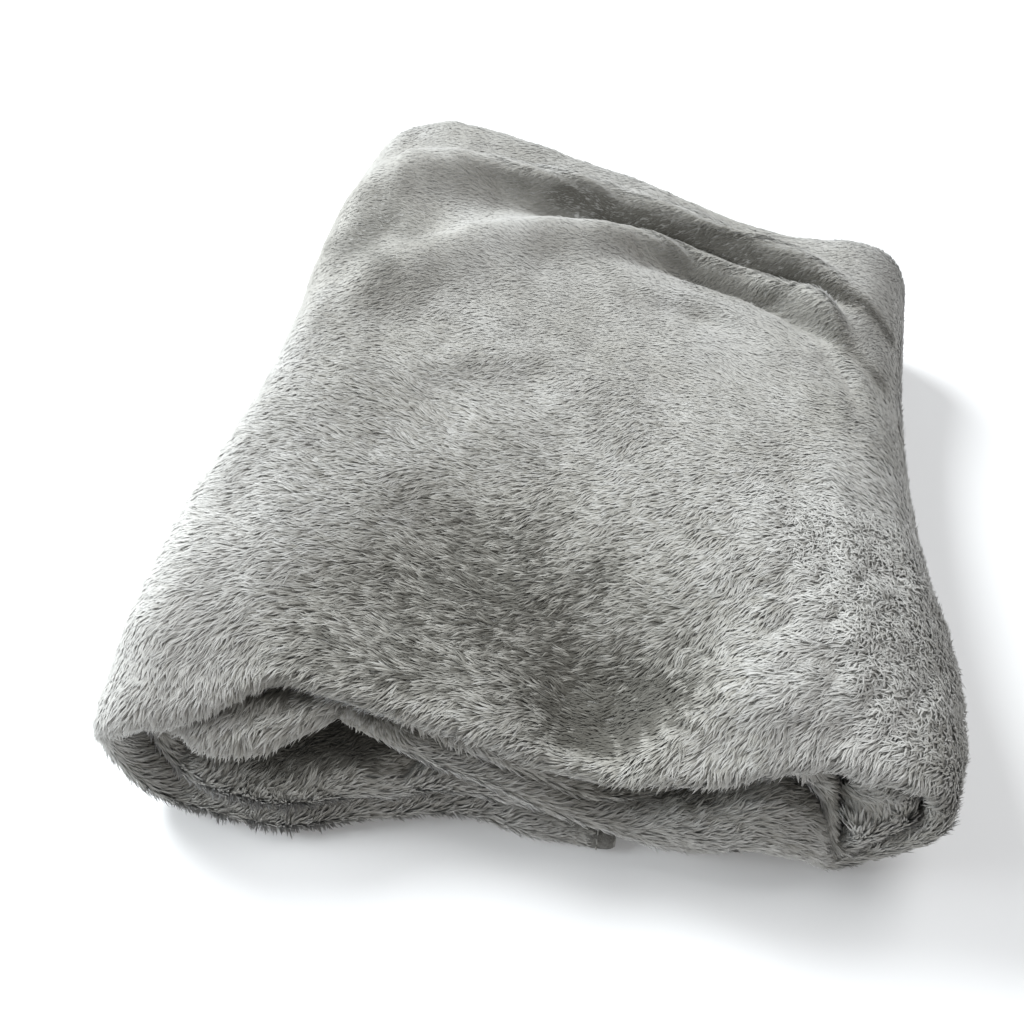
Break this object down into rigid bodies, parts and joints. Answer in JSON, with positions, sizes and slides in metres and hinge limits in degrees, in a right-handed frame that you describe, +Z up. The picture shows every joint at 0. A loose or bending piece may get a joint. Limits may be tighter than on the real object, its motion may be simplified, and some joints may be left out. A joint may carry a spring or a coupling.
{
  "type": "folded throw blanket",
  "caption": "Long-pile plush throw, doubled lengthwise and folded in thirds with its ends tucked under, lying as a soft rectangular stack.",
  "frame": {"origin": "middle of the footprint, on the surface the folded throw lies on", "axes": "+Z up, +Y from the front edge to the back edge, +X from the left side fold to the right side fold"},
  "size_m": [0.43, 0.5036, 0.105],
  "materials": {
    "plush_cloth": "long brushed plush pile, warm grey, soft sheen",
    "hem_cloth": "flattened plush turned under and stitched, darker grey",
    "sewing_thread": "spun polyester sewing thread, matt"
  },
  "bodies": {
    "left_flap": {"left_flap_lower_layers": "plush_cloth", "left_flap_upper_layers": "plush_cloth", "left_flap_back_hem": "hem_cloth", "left_flap_end_hem": "hem_cloth", "left_flap_end_thread": "sewing_thread"},
    "left_side_fold": {"left_side_outer_layers": "plush_cloth", "left_side_inner_layers": "plush_cloth"},
    "lid": {"centre_lower_layers": "plush_cloth", "centre_upper_layers": "plush_cloth", "centre_back_hem": "hem_cloth", "right_side_outer_layers": "plush_cloth", "right_side_inner_layers": "plush_cloth", "right_flap_lower_layers": "plush_cloth", "right_flap_upper_layers": "plush_cloth", "right_flap_back_hem": "hem_cloth", "right_flap_end_hem": "hem_cloth", "right_flap_end_thread": "sewing_thread"}
  },
  "joints": [
    {"name": "left_fold_bottom_bend", "type": "hinge", "parent": "left_flap", "child": "left_side_fold", "pos_m": [-0.201, 0, 0.014], "axis": [0, -1, 0], "range_deg": [0, 90]},
    {"name": "left_fold_top_bend", "type": "hinge", "parent": "left_side_fold", "child": "lid", "pos_m": [-0.201, 0, 0.091], "axis": [0, -1, 0], "range_deg": [0, 90]}
  ],
  "couplings": [
    {"joint": "left_fold_bottom_bend", "follows": "left_fold_top_bend", "ratio": 1}
  ]
}
